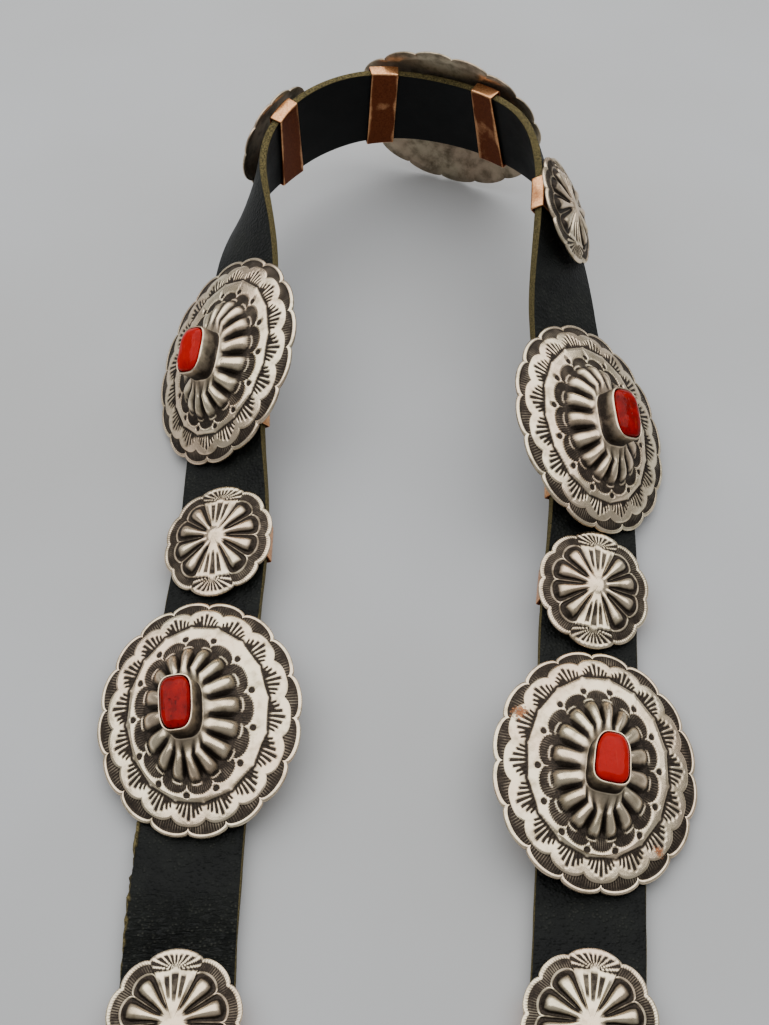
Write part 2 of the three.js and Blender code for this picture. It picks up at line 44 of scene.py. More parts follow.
# Camera and light, in metres and degrees
CAMERA_PLACE = (-0.00455, -0.21714, 0.3863)
CAMERA_TILT = 33.98
CAMERA_ROLL = 0.17
CAMERA_LENS = 47.77
CAMERA_SENSOR = 36
FLOOR_SIZE = 6
FLOOR_DROP = 0.0002
SKY_COLOUR = (0.92, 0.96, 1.0)
SKY_STRENGTH = 0.33
SOFTBOX_WIDTH = 3.8
SOFTBOX_DEPTH = 2.3
SOFTBOX_PLACE = (-0.05, 0.55, 1.3)
SOFTBOX_POWER = 54

# Strap
STRAP_WIDTH = 31.75
STRAP_THICKNESS = 2.8
ROW_SPACING = 28.4
FOLD_ROW = 0.8
FLAP_LENGTH = 26
TIP_ROW = 33.1
HOLE_DIAMETER = 4.2
HOLE_SPACING = 12.5
HOLE_COUNT = 4
FIRST_HOLE = 17

# Large medallion
LARGE_LENGTH = 77.4
LARGE_WIDTH = 63.5
LARGE_GAUGE = 0.9
LARGE_DOME = 5.5
LARGE_SCALLOPS = 16
LARGE_NOTCH = 0.045
LARGE_STANDOFF = 0.7
LARGE_COLUMNS = 720
LARGE_RINGS = 67

# Its stamp work: lines in a crescent, rays in a fan, insets from the plain oval's edge, and rust blots,
# each by its place along and across, its reach and the reach of its solid middle
HATCHES = 15
RAYS = 9
RAY_LENGTH = 4.4
BASE_INSET = 10.15
DOT_INSET = 13.15
DOT_RADIUS = 0.9
MOON_INSET = 13.1
RUST_BLOTS = [(-12, -24.9, 4, 0.5), (22.5, 19.7, 2.9, 0.4)]

# Bezel and coral, heights from the rim's plane
BEZEL_FOOT = 10.2
BEZEL_TOP = 16.9
BEZEL_WALL = 0.6
CORAL_SEAT = 10.8
CORAL_TOP = 18.6
STONE_GAP = 0.35
STONE_SQUARENESS = 0.6
STONE_COLUMNS = 96
STONE_RINGS = 36

# Small medallion
SMALL_LENGTH = 41.4
SMALL_WIDTH = 37.7
SMALL_GAUGE = 0.8
SMALL_DOME = 2.2
SMALL_NOTCH = 0.07
SMALL_END_LOBE = 50
SMALL_STANDOFF = 1.85
SMALL_HOLLOW_TOP = 2.7
SMALL_BOSS_TOP = 4.7
SMALL_HATCHES = 14
WEDGE_FOCUS = 0.69
WEDGE_SPACING = 17.5
END_LOBE_COLUMNS = 64
SIDE_LOBE_COLUMNS = 44
SMALL_RINGS = 45

# Copper loops
LOOP_WIDTH = 12
LOOP_THICKNESS = 0.8
LOOP_GAP = 0.45
LOOP_CORNER = 0.9
LOOP_STATIONS = 9
LOOP_RINGS = 25

# Tongue's slot in the fold, and how finely the strap is drawn
SLOT_WIDTH = 5.5
SLOT_DEPTH = 4
FLAP_STATIONS = 13
FOLD_STATIONS = 14
RUN_STATIONS = 440
TIP_STATIONS = 16
SECTION_COLUMNS = 64
HOLE_SIDES = 40

# Strap's wear: how far from a loop it lies loose, its creases by row, reach and depth, and the middle row
# of the wrinkled stretch
LOOSE_AFTER = 4
CREASES = [(4.03, 0.05, 0.24), (3.86, 0.04, 0.16)]
CREASED_ROW = 4

# Middle of the belt's box in the rows' own frame, which is the part's origin
ORIGIN = np.array([4.55, 217.14, 0])

# Control rows of the strap's midline: x, y, z, and how far its grain side leans outwards, in degrees
STRAP_ROWS = np.array([
    (-52.5, 0, 10.6, 0), (-53.7, 28, 9.4, 0), (-55, 56.5, 4.6, 0), (-56, 85, 2.7, 0),
    (-57, 113.5, 2.8, 0), (-56.5, 141.5, 3, 1), (-55.5, 168.5, 5.2, 7), (-56.5, 196, 6.6, 7),
    (-54.5, 224, 6.5, 9), (-53, 252.5, 7.6, 18), (-55, 280, 11.2, 34), (-53.5, 305.5, 19.3, 36.5),
    (-50, 331.5, 27.2, 36), (-50.5, 358, 31.6, 48), (-50, 383.5, 34.2, 77), (-38, 408, 36.5, 91),
    (-16, 426, 36.8, 91), (10, 430, 34.5, 86), (36, 420.5, 35.2, 84), (54, 401, 40, 80),
    (61, 375.5, 42.8, 67), (62.5, 348.5, 36.6, 52), (62, 322, 28.4, 36), (65, 295.5, 21.4, 29),
    (69.5, 269.5, 14.7, 30), (69, 242.5, 8.5, 21), (65, 215, 5.3, 9), (63, 187, 5, 8),
    (62, 159.5, 5.8, 9), (59.5, 132, 3.2, 2), (57, 104.5, 2.8, 0), (53.5, 77, 2.8, 0),
    (50, 50, 2.2, 0), (46.5, 22.5, 1.4, 0), (43, -4.5, 1.4, 0),
])

# Large medallions: place on the strap, shift across it, added standoff, turn and lean in degrees
LARGE = {
    "left_front": {"row": 6.42, "aside": -0.2, "lift": 0.3, "turn": 5.5, "lean": -0.5},
    "left_back": {"row": 11.14, "aside": 0.3, "lift": 1.1, "turn": -3.6, "lean": 0},
    "back": {"row": 17.54, "aside": 3.2, "lift": -3.35, "turn": 5, "lean": 0.7},
    "right_back": {"row": 23.52, "aside": 0.6, "lift": 1.1, "turn": -2.6, "lean": 1},
    "right_front": {"row": 27.855, "aside": 0.6, "lift": 0.4, "turn": -4.7, "lean": 2.3},
}

# Their stones: the bezel's foot along and across, how far its rim leans out, length, width and taper
STONES = {
    "left_front": {"along": -1.9, "across": 2.2, "lean": 1.5, "length": 16.2, "width": 9.2, "taper": 0.06},
    "left_back": {"along": -2.6, "across": -0.3, "lean": 1.1, "length": 15.4, "width": 9.4, "taper": 0},
    "back": {"along": 0, "across": 1, "lean": 0.8, "length": 15.4, "width": 10, "taper": 0},
    "right_back": {"along": 1.8, "across": 0.5, "lean": 1.3, "length": 16.7, "width": 9.4, "taper": 0},
    "right_front": {"along": 3.1, "across": 0.1, "lean": 0.1, "length": 14.8, "width": 11.2, "taper": 0.15},
}
STONE_SIZES = [f"Stone {key}" for key in STONES["back"]]

# Their marks: number of dots, turn of the stamping in degrees, rust, and the stone's depth of red and pits
MARKS = {
    "left_front": {"dots": 13, "stamped": -9, "rust": 0, "deep": 0.55, "pits": 1},
    "left_back": {"dots": 14, "stamped": 1.5, "rust": 0, "deep": 0, "pits": 0.3},
    "back": {"dots": 14, "stamped": 0, "rust": 0, "deep": 0.3, "pits": 0.4},
    "right_back": {"dots": 14, "stamped": -10, "rust": 0, "deep": 0.6, "pits": 0.8},
    "right_front": {"dots": 14, "stamped": 6.5, "rust": 1, "deep": 0.05, "pits": 0.15},
}

# Where the two loops of a large medallion sit along the strap, from its middle
LARGE_LOOPS = {place: (-22, 22) for place in LARGE} | {"back": (-28, 20.5)}

# Small medallions, with the same values as the large
SMALL = {
    "left_end": {"row": 3.16, "aside": 0, "lift": 0, "turn": 0.5, "lean": -0.9},
    "left_middle": {"row": 8.62, "aside": -0.3, "lift": 0.5, "turn": -0.4, "lean": 0},
    "back_left": {"row": 14.91, "aside": -1.5, "lift": 0.2, "turn": -6.4, "lean": 0},
    "back_right": {"row": 20.46, "aside": -0.6, "lift": 0.6, "turn": 3.6, "lean": -2.3},
    "right_middle": {"row": 25.67, "aside": -0.2, "lift": 0.9, "turn": 0, "lean": 0},
    "right_end": {"row": 30.52, "aside": 0.4, "lift": 0, "turn": -2.2, "lean": 0.2},
}


class Field:
    """A number that varies over a shape or a surface. Arithmetic on it adds Math nodes to its tree."""

    def __init__(self, tree, socket):
        self.tree = tree
        self.socket = socket

    def __add__(self, other):
        return maths("ADD", self, other)

    def __sub__(self, other):
        return maths("SUBTRACT", self, other)

    def __rsub__(self, other):
        return maths("SUBTRACT", other, self)

    def __mul__(self, other):
        return maths("MULTIPLY", self, other)

    def __truediv__(self, other):
        return maths("DIVIDE", self, other)

    def __rtruediv__(self, other):
        return maths("DIVIDE", other, self)

    def __pow__(self, other):
        return maths("POWER", self, other)

    __radd__ = __add__
    __rmul__ = __mul__


def plug(tree, socket, value):
    """Feeds a socket with a field, another socket or a plain value."""
    if isinstance(value, Field):
        tree.links.new(value.socket, socket)
    elif isinstance(value, bpy.types.NodeSocket):
        tree.links.new(value, socket)
    else:
        socket.default_value = value


def fed(tree, kind, *values, operation=None):
    """The first output of a new node whose inputs are fed in order."""
    node = tree.nodes.new(kind)
    if operation:
        node.operation = operation
    for socket, value in zip(node.inputs, values):
        plug(tree, socket, value)
    return node.outputs[0]


def maths(operation, *values):
    tree = next(value.tree for value in values if isinstance(value, Field))
    return Field(tree, fed(tree, "ShaderNodeMath", *values, operation=operation))


def sine(value):
    return maths("SINE", value)


def cosine(value):
    return maths("COSINE", value)


def size_of(value):
    return maths("ABSOLUTE", value)


def root(value):
    return maths("SQRT", maths("MAXIMUM", value, 0))


def greater(first, second):
    return maths("MAXIMUM", first, second)


def signed_power(value, exponent):
    return value * greater(size_of(value), 1e-6) ** (exponent - 1)


def off_middle(value):
    """How far a value is from its nearest whole number, -0.5 to 0.5."""
    return maths("FRACT", value + 0.5) - 0.5


def share(value, low, high):
    """0 where the value is at low, 1 where it is at high, and between them in between."""
    return Field(value.tree, fed(value.tree, "ShaderNodeMapRange", value, low, high))


def climb(value, stops):
    """Goes from stop to stop: each is a value and what comes out there, a number or a field."""
    total = stops[0][1]
    for (low, start), (high, end) in zip(stops, stops[1:]):
        total = share(value, low, high) * (end - start) + total
    return total


def mixed(first, second, amount):
    return (second - first) * amount + first


def steps(stops):
    """Stops given by how many rings lie between them, as stops given by ring number."""
    ring = 0
    numbered = []
    for count, value in stops:
        ring += count
        numbered.append((ring, value))
    return numbered


def new_tree(name, sizes):
    """An empty Geometry Nodes tree and its named inputs as fields."""
    tree = bpy.data.node_groups.new(name, "GeometryNodeTree")
    tree.interface.new_socket("Geometry", in_out="INPUT", socket_type="NodeSocketGeometry")
    tree.interface.new_socket("Geometry", in_out="OUTPUT", socket_type="NodeSocketGeometry")
    for label in sizes:
        tree.interface.new_socket(label, in_out="INPUT", socket_type="NodeSocketFloat")
    entry = tree.nodes.new("NodeGroupInput")
    return tree, entry, {label: Field(tree, entry.outputs[label]) for label in sizes}


def closed_skin(tree, columns, rings, caps="TRIANGLE_FAN"):
    """A skin of rings with a pole at each end, each point's column and ring, and 0 at the poles."""
    grid = tree.nodes.new("GeometryNodeMeshCylinder")
    grid.fill_type = caps
    grid.inputs["Vertices"].default_value = columns
    grid.inputs["Side Segments"].default_value = rings - 1
    grid.inputs["Radius"].default_value = 1
    grid.inputs["Depth"].default_value = rings - 1
    place = tree.nodes.new("GeometryNodeInputPosition")
    parts = tree.nodes.new("ShaderNodeSeparateXYZ")
    tree.links.new(place.outputs[0], parts.inputs[0])
    x, y, z = (Field(tree, socket) for socket in parts.outputs)
    turn = maths("ARCTAN2", y, x) / math.tau
    column = maths("FLOOR", maths("FRACT", turn + (1 + 0.25 / columns)) * columns)
    ring = maths("ROUND", z + (rings - 1) / 2)
    return grid.outputs["Mesh"], column, ring, share(x * x + y * y, 0.2, 0.8)


def combined(tree, x, y, z):
    return fed(tree, "ShaderNodeCombineXYZ", x, y, z)


def open_socket(sockets, name):
    """The socket of this name that the node's own settings leave in use."""
    return next(socket for socket in sockets if socket.name == name and socket.enabled)


def stepped(tree, start, direction, distance):
    """A place moved along a direction by a distance."""
    return fed(tree, "ShaderNodeVectorMath", direction, distance, start, operation="MULTIPLY_ADD")


def noise(tree, place, scale, detail=2, grain=0.5):
    """Smooth noise of about 0.3 to 0.7 round 0.5."""
    node = tree.nodes.new("ShaderNodeTexNoise")
    tree.links.new(place, node.inputs["Vector"])
    node.inputs["Scale"].default_value = scale
    node.inputs["Detail"].default_value = detail
    node.inputs["Roughness"].default_value = grain
    return Field(tree, node.outputs[0])


def from_path(tree, path, name, station):
    """What a path holds at a station: its place, or a direction stored under a name."""
    if name == "position":
        source = tree.nodes.new("GeometryNodeInputPosition").outputs[0]
    else:
        node = tree.nodes.new("GeometryNodeInputNamedAttribute")
        node.data_type = "FLOAT_VECTOR"
        node.inputs["Name"].default_value = name
        source = open_socket(node.outputs, "Attribute")
    sample = tree.nodes.new("GeometryNodeSampleIndex")
    sample.data_type = "FLOAT_VECTOR"
    sample.domain = "POINT"
    tree.links.new(path, sample.inputs["Geometry"])
    tree.links.new(source, open_socket(sample.inputs, "Value"))
    plug(tree, sample.inputs["Index"], station)
    return open_socket(sample.outputs, "Value")


def stored(tree, shape, name, value):
    node = tree.nodes.new("GeometryNodeStoreNamedAttribute")
    node.data_type = "FLOAT"
    node.inputs["Name"].default_value = name
    tree.links.new(shape, node.inputs["Geometry"])
    plug(tree, node.inputs["Value"], value)
    return node.outputs[0]


def moved(tree, shape, position):
    node = tree.nodes.new("GeometryNodeSetPosition")
    tree.links.new(shape, node.inputs["Geometry"])
    tree.links.new(position, node.inputs["Position"])
    return node.outputs[0]


def finished(tree, shape, material):
    """Ends a tree: smooth shading, real geometry, one material."""
    for kind in ("SetShadeSmooth", "RealizeInstances", "SetMaterial"):
        node = tree.nodes.new("GeometryNode" + kind)
        tree.links.new(shape, node.inputs["Geometry"])
        shape = node.outputs[0]
    node.inputs["Material"].default_value = material
    tree.links.new(shape, tree.nodes.new("NodeGroupOutput").inputs["Geometry"])


def in_scene(name, data):
    made = bpy.data.objects.new(name, data)
    bpy.context.scene.collection.objects.link(made)
    return made


def plain_mesh(piece):
    """The mesh that a piece's modifiers give."""
    graph = bpy.context.evaluated_depsgraph_get()
    shape = piece.evaluated_get(graph)
    return bpy.data.meshes.new_from_object(shape, preserve_all_data_layers=True, depsgraph=graph)


def grown(name, tree, sizes, place, base=None):
    """Runs a tree with these sizes and gives its result as a plain piece, set in place."""
    host = in_scene(name, base or bpy.data.meshes.new(name + "_base"))
    modifier = host.modifiers.new(tree.name, "NODES")
    modifier.node_group = tree
    for item in tree.interface.items_tree:
        if item.item_type == "SOCKET" and item.in_out == "INPUT" and item.name in sizes:
            modifier[item.identifier] = float(sizes[item.name])
    mesh = plain_mesh(host)
    mesh.name = name
    host.modifiers.remove(modifier)
    host.data = mesh
    mesh.transform(Matrix.Scale(MM, 4) @ place)
    return host


def strap_frame(row):
    """The strap's midline at a row: a point, and directions along, across to the lower edge and out."""
    start = min(max(math.floor(row), 1), len(STRAP_ROWS) - 3)
    t = row - start
    weights = [(1 - t) ** 3, 3 * t**3 - 6 * t * t + 4, -3 * t**3 + 3 * t * t + 3 * t + 1, t**3]
    weights = np.array(weights) / 6
    slopes = np.array([-3 * (1 - t) ** 2, 9 * t * t - 12 * t, -9 * t * t + 6 * t + 3, 3 * t * t])
    near = STRAP_ROWS[start - 1 : start + 3]
    x, y, z, bank = weights @ near
    along = (slopes @ near)[:3]
    along /= np.linalg.norm(along)
    side = np.array([-along[1], along[0], 0])
    side /= np.linalg.norm(side)
    up = np.cross(side, along)
    up *= math.copysign(1, up[2])
    lean = math.radians(bank)
    out = math.cos(lean) * up + math.sin(lean) * side
    return np.array([x, y, z]) - ORIGIN, along, np.cross(out, along), out


def axes_matrix(along, across, out):
    """The turn that lays X, Y and Z along these three directions."""
    return Matrix([tuple(row) for row in zip(along, across, out)]).to_4x4()


def on_strap(row, aside, lift, turn, lean, standoff):
    """The matrix that sets a medallion on the strap: X along it, Y across and Z out, in millimetres."""
    point, along, across, out = strap_frame(row)
    point = point + aside * across + (STRAP_THICKNESS / 2 + standoff + lift) * out
    tilt = Matrix.Rotation(math.radians(-lean), 4, "X")
    spin = Matrix.Rotation(math.radians(turn), 4, "Z")
    return Matrix.Translation(point) @ axes_matrix(along, across, out) @ tilt @ spin


def stone_outline(size, angle, part, grow, rise):
    """A ring of the rounded rectangle that bezel and coral share, at a height: x and y."""
    climbed = greater((rise - BEZEL_FOOT) / (BEZEL_TOP - BEZEL_FOOT), 0)
    x = signed_power(cosine(angle), STONE_SQUARENESS) * (size["Stone length"] / 2 * part + grow)
    y = signed_power(sine(angle), STONE_SQUARENESS) * (size["Stone width"] / 2 * part + grow)
    y = y * (cosine(angle) * size["Stone taper"] + (1 - size["Stone taper"]))
    return x + size["Stone along"], y + size["Stone across"] + size["Stone lean"] * climbed


def oval_tree(material):
    """The large medallion: stamped borders, sixteen petals and a tall bezel, one closed skin."""
    tree, _, size = new_tree("stamped_oval", [*STONE_SIZES, "Dots", "Stamped", "Rust"])
    half_length = LARGE_LENGTH / 2
    half_width = LARGE_WIDTH / 2
    mean = (half_length + half_width) / 2
    skin, column, ring, off_pole = closed_skin(tree, LARGE_COLUMNS, LARGE_RINGS)
    angle = column * (math.tau / LARGE_COLUMNS)
    stamped = column - size["Stamped"] * (LARGE_COLUMNS / 360)
    notch = off_middle(stamped * (LARGE_SCALLOPS / LARGE_COLUMNS))
    away = size_of(notch) * 2
    near = 1 - away

    # Edges of the stamped borders, as insets from the plain oval
    rim = (1 - root(sine(away * (math.pi / 2)))) * (LARGE_NOTCH * mean)
    crescent_out = (1 - root(1 - near * near)) * 2 + 0.95
    crescent_in = (1 - near) ** 3.2 * 1.75 + 3.55
    base = mean - (mean - BASE_INSET) / cosine(away * (math.pi / LARGE_SCALLOPS))
    fan_end = base - near * 3.8 - 2
    underside = [(0, 27.5), (1, 21), (1, 14.5), (1, 5)]
    edge = [(1, rim + 0.12), (1, rim), (1, rim), (1, rim + 0.18)]
    crescents = [(2, crescent_out), (1, crescent_out + 0.22), (5, crescent_in - 0.2), (1, crescent_in)]
    fans = [(3, fan_end), (1, fan_end + 0.35), (8, base - 0.1), (1, base + 0.2), (1, base + 0.5)]
    middle = [(2, 12.1), (12, 16.6), (2, 17.6), (9, 24.3)]
    inset = climb(ring, steps(underside + edge + crescents + fans + middle))

    # Outer crescents: hatched, dark, sunk
    line = cosine(stamped * (HATCHES * LARGE_SCALLOPS * math.tau / LARGE_COLUMNS)) * 0.5 + 0.5
    in_crescent = climb(ring, [(9, 0), (10, 1), (15, 1), (16, 0)])
    inner_part = share(ring, 10, 15)
    crescent_relief = in_crescent * (line * 0.14 - 0.32)
    crescent_dark = in_crescent * (0.98 - line * (inner_part * 0.16 + 0.14))

    # Fans of rays on a straight base, each with a dark corner at one end
    ray = notch * RAYS
    ray_number = size_of(maths("ROUND", ray))
    off_ray = size_of(off_middle(ray))
    ray_end = base - 1.2 - (1 - ray_number * (2 / RAYS)) * RAY_LENGTH
    in_fan = share(ring, 18.5, 19.5) * share(ring, 29.5, 28.5)
    ray_width = climb(base - inset, [(0, 0.4), (1.5, 0.34), (5.6, 0.31)])
    in_ray = share(off_ray, ray_width + 0.07, ray_width - 0.07) * share(inset, ray_end, ray_end + 0.5)
    in_ray = in_ray * in_fan * share(size_of(notch), 0.42, 0.4)
    to_corner = share(notch, 0.5, 0.16) * 2.4
    in_corner = share(notch, 0.1, 0.14) * share(base - inset, to_corner, to_corner - 0.3)
    near_base = greater(share(base - inset, 1.3, 0.5), in_corner) * in_fan
    # The dark line along the base is painted shadow of the step there, over a shallow groove.
    step_shadow_line = climb(ring, [(27.5, 0), (28, 1), (29, 1), (30, 0)]) * share(size_of(notch), 0.49, 0.44)
    fan_relief = in_ray * -0.3 - near_base * 0.1 - step_shadow_line * 0.12
    fan_dark = greater(greater(in_ray, near_base * 0.9), step_shadow_line * 0.7)

    # Dots, and the toothed crescents between them
    turn = stamped / LARGE_COLUMNS
    dot_phase = off_middle(turn * size["Dots"] + 0.5)
    speed = root((sine(angle) * 25.5) ** 2 + (cosine(angle) * 18.6) ** 2)
    dot_aside = dot_phase * speed * math.tau / size["Dots"]
    dot_reach = root(dot_aside * dot_aside + (inset - DOT_INSET) ** 2)
    in_dot = share(dot_reach, DOT_RADIUS + 0.25, DOT_RADIUS)
    moon_phase = size_of(off_middle(turn * size["Dots"])) * 2
    tooth = cosine(stamped * (math.tau / 4))
    moon_edge = (1 - root(1 - moon_phase * moon_phase)) * 2.9 + MOON_INSET + tooth * 0.16
    in_moon = share(inset, moon_edge - 0.12, moon_edge + 0.15) * share(inset, 17.8, 17.4)
    # The glint is a painted highlight: a bright arc round each petal's foot, also raised a little.
    painted_glint = share(size_of(inset - near * near * 1.6 - 16.1), 0.35, 0.08) * share(away, 0.35, 0.6)
    moon_relief = in_moon * (tooth * 0.06 - 0.3) + painted_glint * 0.22 - in_dot * 0.4
    moon_dark = greater(in_moon * (0.88 + tooth * 0.08) - painted_glint * 0.7, in_dot)

    # Petals
    foot = near * near * 2.6
    ridge = climb(
        inset - foot, [(16.6, 4.86), (17.2, 5.9), (18.2, 7.2), (20, 8.35), (22.4, 9.3), (25.2, 10)]
    )
    valley = climb(inset, [(17.6, 5), (20, 5.2), (22.8, 6.8), (24.6, 9.1)])
    petal = greater(valley, mixed(valley, ridge, root(1 - near * near)))
    in_petals = share(inset, 16.6, 17.4)
    valley_dark = share(near, 0.28, 0.74) * 0.95
    foot_dark = share(ridge, 7.2, 5.2) * 0.85
    petal_dark = in_petals * greater(valley_dark, foot_dark)

    # Height of the plate, underside first
    dome_inset = inset - rim * share(inset, 5, 1.5)
    dome = (1 - (1 - dome_inset / mean) ** 2) * LARGE_DOME
    plate = dome + LARGE_GAUGE + crescent_relief + fan_relief + moon_relief
    upper = mixed(plate, petal, in_petals)
    lower = climb(ring, [(0, 8.2), (1, 4.3), (2, 3.6), (3, 1.5), (4, 0), (5, 0.25), (6, 0.65), (7, 0.9)])
    height = mixed(lower, upper, share(ring, 6, 7))

    # Bezel, from a ledge up the wall, over the rim and down the cup: ring, reach past the stone, height
    # and tarnish
    wall = STONE_GAP + BEZEL_WALL
    bezel_rings = [
        (55, 2.4, 10, 0.5),
        (56, 1.35, 10, 0.5),
        (57, 1.25, 10.4, 0.15),
        (58, 0.98, 10.45, 0.85),
        (59, wall, 11.5, 0.9),
        (60, wall, 14.4, 0.75),
        (61, 0.93, 16.4, 0.45),
        (62, 0.85, 16.8, 0.05),
        (63, 0.6, BEZEL_TOP, 0),
        (64, 0.4, 16.75, 0.3),
        (65, STONE_GAP, 15.6, 1),
        (66, STONE_GAP, 10.55, 1),
    ]
    grow = climb(ring, [(number, reach) for number, reach, _, _ in bezel_rings])
    rise = climb(ring, [(number, height) for number, _, height, _ in bezel_rings])
    dark_bezel = climb(ring, [(number, tarnish) for number, _, _, tarnish in bezel_rings])
    on_bezel = share(ring, 55, 56)
    stone_x, stone_y = stone_outline(size, angle, 1, grow, rise)

    # Rays lean outwards from the middle of their fan
    spread = greater(base - inset, 0) * share(inset, crescent_in, fan_end) * share(ring, 6, 7)
    leaning = angle + notch * (1 - away**4) * spread * (0.1 * math.tau / LARGE_SCALLOPS)
    drift = climb(inset, [(10.8, 0), (12.2, 0.5), (17.6, 0.6), (24.3, 1)])
    plate_x = cosine(leaning) * (half_length - inset) + size["Stone along"] * drift
    plate_y = sine(leaning) * (half_width - inset) + size["Stone across"] * drift
    x = mixed(size["Stone along"], mixed(plate_x, stone_x, on_bezel), off_pole)
    y = mixed(size["Stone across"], mixed(plate_y, stone_y, on_bezel), off_pole)
    z = mixed(height, rise, on_bezel)

    # Tarnish: oxide in the stamp work, with the painted shadow along the fans' base and the painted
    # highlight arcs at the petals' feet.
    dark = greater(greater(crescent_dark, fan_dark), greater(moon_dark, petal_dark))
    dark = mixed(0.5, mixed(dark, dark_bezel, on_bezel), share(ring, 5, 7))
    shape = stored(tree, skin, "tarnish", dark)
    blots = []
    for along, across, reach, solid in RUST_BLOTS:
        blots.append(share(root((x - along) ** 2 + (y - across) ** 2), reach, solid))
    shape = stored(tree, shape, "rust", greater(*blots) * size["Rust"])
    finished(tree, moved(tree, shape, combined(tree, x, y, z)), material)
    return tree


def flower_tree(material):
    """The small medallion: ten lobes, eight raised petals and a boss, one closed skin."""
    tree, _, size = new_tree("stamped_flower", ["Length", "Width"])
    half_columns = END_LOBE_COLUMNS + 4 * SIDE_LOBE_COLUMNS
    skin, column, ring, off_pole = closed_skin(tree, 2 * half_columns, SMALL_RINGS)
    in_half = maths("MODULO", column, half_columns)
    at_end = share(in_half, END_LOBE_COLUMNS, END_LOBE_COLUMNS - 0.5)
    side_part = maths("FRACT", (in_half - END_LOBE_COLUMNS) / SIDE_LOBE_COLUMNS)
    part = mixed(side_part, in_half / END_LOBE_COLUMNS, at_end)
    from_middle = size_of(part - 0.5) * 2
    lobe = sine(part * math.pi)
    half_end = SMALL_END_LOBE / 2
    turns = [(0, -half_end), (END_LOBE_COLUMNS, half_end), (half_columns, 180 - half_end)]
    turns += [(half_columns + END_LOBE_COLUMNS, 180 + half_end), (2 * half_columns, 360 - half_end)]
    angle = climb(column, turns) * (math.pi / 180)

    # Reach of each ring, as a share of the half axes: underside, rim, crescents, petals and boss
    rim = 1 - (1 - root(lobe)) * SMALL_NOTCH
    border = rim - 0.058
    arc = mixed(root(lobe) * 0.12 + 0.68, 0.72, at_end)
    underside = [(0, 0.3), (1, 0.6), (1, 0.85)]
    edge = [(1, rim - 0.006), (1, rim), (1, rim), (1, rim - 0.01)]
    middle = [(1, border), (9, arc), (2, arc - 0.035), (22, 0.15), (4, 0.03)]
    reach = climb(ring, steps(underside + edge + middle))
    flat_x = cosine(angle) * size["Length"] / 2
    flat_y = sine(angle) * size["Width"] / 2
    x = flat_x * reach
    y = flat_y * reach
    plate = (1 - reach * reach) * SMALL_DOME + SMALL_GAUGE

    # Side lobes: toothed crescents with a bright arc inside them
    hatch = cosine(side_part * (SMALL_HATCHES * math.tau)) * 0.5 + 0.5
    tooth = (hatch - 0.5) * 0.02
    at_side = 1 - at_end
    in_crescent = share(reach, border + 0.004 + tooth, border - 0.008 + tooth)
    in_crescent = in_crescent * share(reach, arc, arc + 0.01) * at_side
    on_arc = share(size_of(reach - arc + 0.006), 0.013, 0.003) * at_side * share(lobe, 0.15, 0.4)
    crescent_relief = in_crescent * (hatch * 0.16 - 0.34) + on_arc * 0.08
    crescent_dark = greater(in_crescent * (1 - hatch * 0.26), on_arc * 0.85)

    # Petals in dark cups, with a thin ridge between each two
    ridge_stops = [(0.15, 4.3), (0.42, 3.95), (0.58, 3.65), (0.66, 3.25), (0.71, 2.6), (0.75, 1.75)]
    ridge = climb(reach, ridge_stops + [(0.8, 1.4)])
    cup = climb(reach, [(0.15, 4.1), (0.25, 3.1), (0.6, 1.9), (0.74, 1.45), (0.8, 1.6)])
    petal_width = climb(reach, [(0.15, 0.8), (0.3, 0.58), (0.6, 0.7), (0.68, 0.6), (0.73, 0.35)])
    over = greater(1 - (from_middle / petal_width) ** 2, 0)
    between = share(from_middle, 0.86, 0.96) * share(reach, 0.8, 0.7) * share(reach, 0.2, 0.3)
    petals = mixed(cup, ridge, over**0.7) + between * 0.4
    inside_arc = share(reach, arc, arc - 0.03)
    cup_dark = share(over, 0.85, 0.2) * 0.96 - between * 0.25
    petal_dark = greater(cup_dark, share(reach, 0.62, 0.7)) * share(reach, 0.15, 0.22)
    petal_dark = petal_dark * inside_arc * at_side

    # End lobes: wedges spread from a focus, three long punches and a flat field on each side of them
    from_focus = size_of(x) - WEDGE_FOCUS * SMALL_LENGTH / 2
    spread = maths("ARCTAN2", y, from_focus) * (180 / math.pi)
    focus_reach = root(from_focus**2 + y * y)
    off_wedge = size_of(off_middle(spread / WEDGE_SPACING))
    in_wedge = share(off_wedge, 0.36, 0.28) * share(focus_reach, 0.7, 1.1)
    in_wedge = in_wedge * share(reach, 0.925, 0.91) * share(size_of(spread), 97, 95) * at_end
    punch_reach = size_of(x) / (SMALL_LENGTH / 2)
    long_half = climb(punch_reach, [(0.24, 0.35), (0.6, 0.95)])
    long_punch = share(size_of(y) - long_half, 0.12, -0.12)
    long_punch = long_punch * share(punch_reach, 0.25, 0.3) * share(punch_reach, 0.665, 0.65)
    side_middle = climb(punch_reach, [(0.2, 1.1), (0.64, 2.45)])
    side_half = climb(punch_reach, [(0.26, 0.3), (0.58, 0.7)])
    side_punch = share(size_of(size_of(y) - side_middle) - side_half, 0.1, -0.1)
    side_punch = side_punch * share(punch_reach, 0.29, 0.34) * share(punch_reach, 0.625, 0.61)
    in_punch = greater(long_punch, side_punch) * at_end
    field = climb(reach, [(0.15, 4.2), (0.42, 3.15), (0.69, 2.35), (0.8, 1.75), (0.86, 1.37)])
    end_edge = share(from_middle, 0.8, 0.98) * share(reach, 0.7, 0.6) * at_end

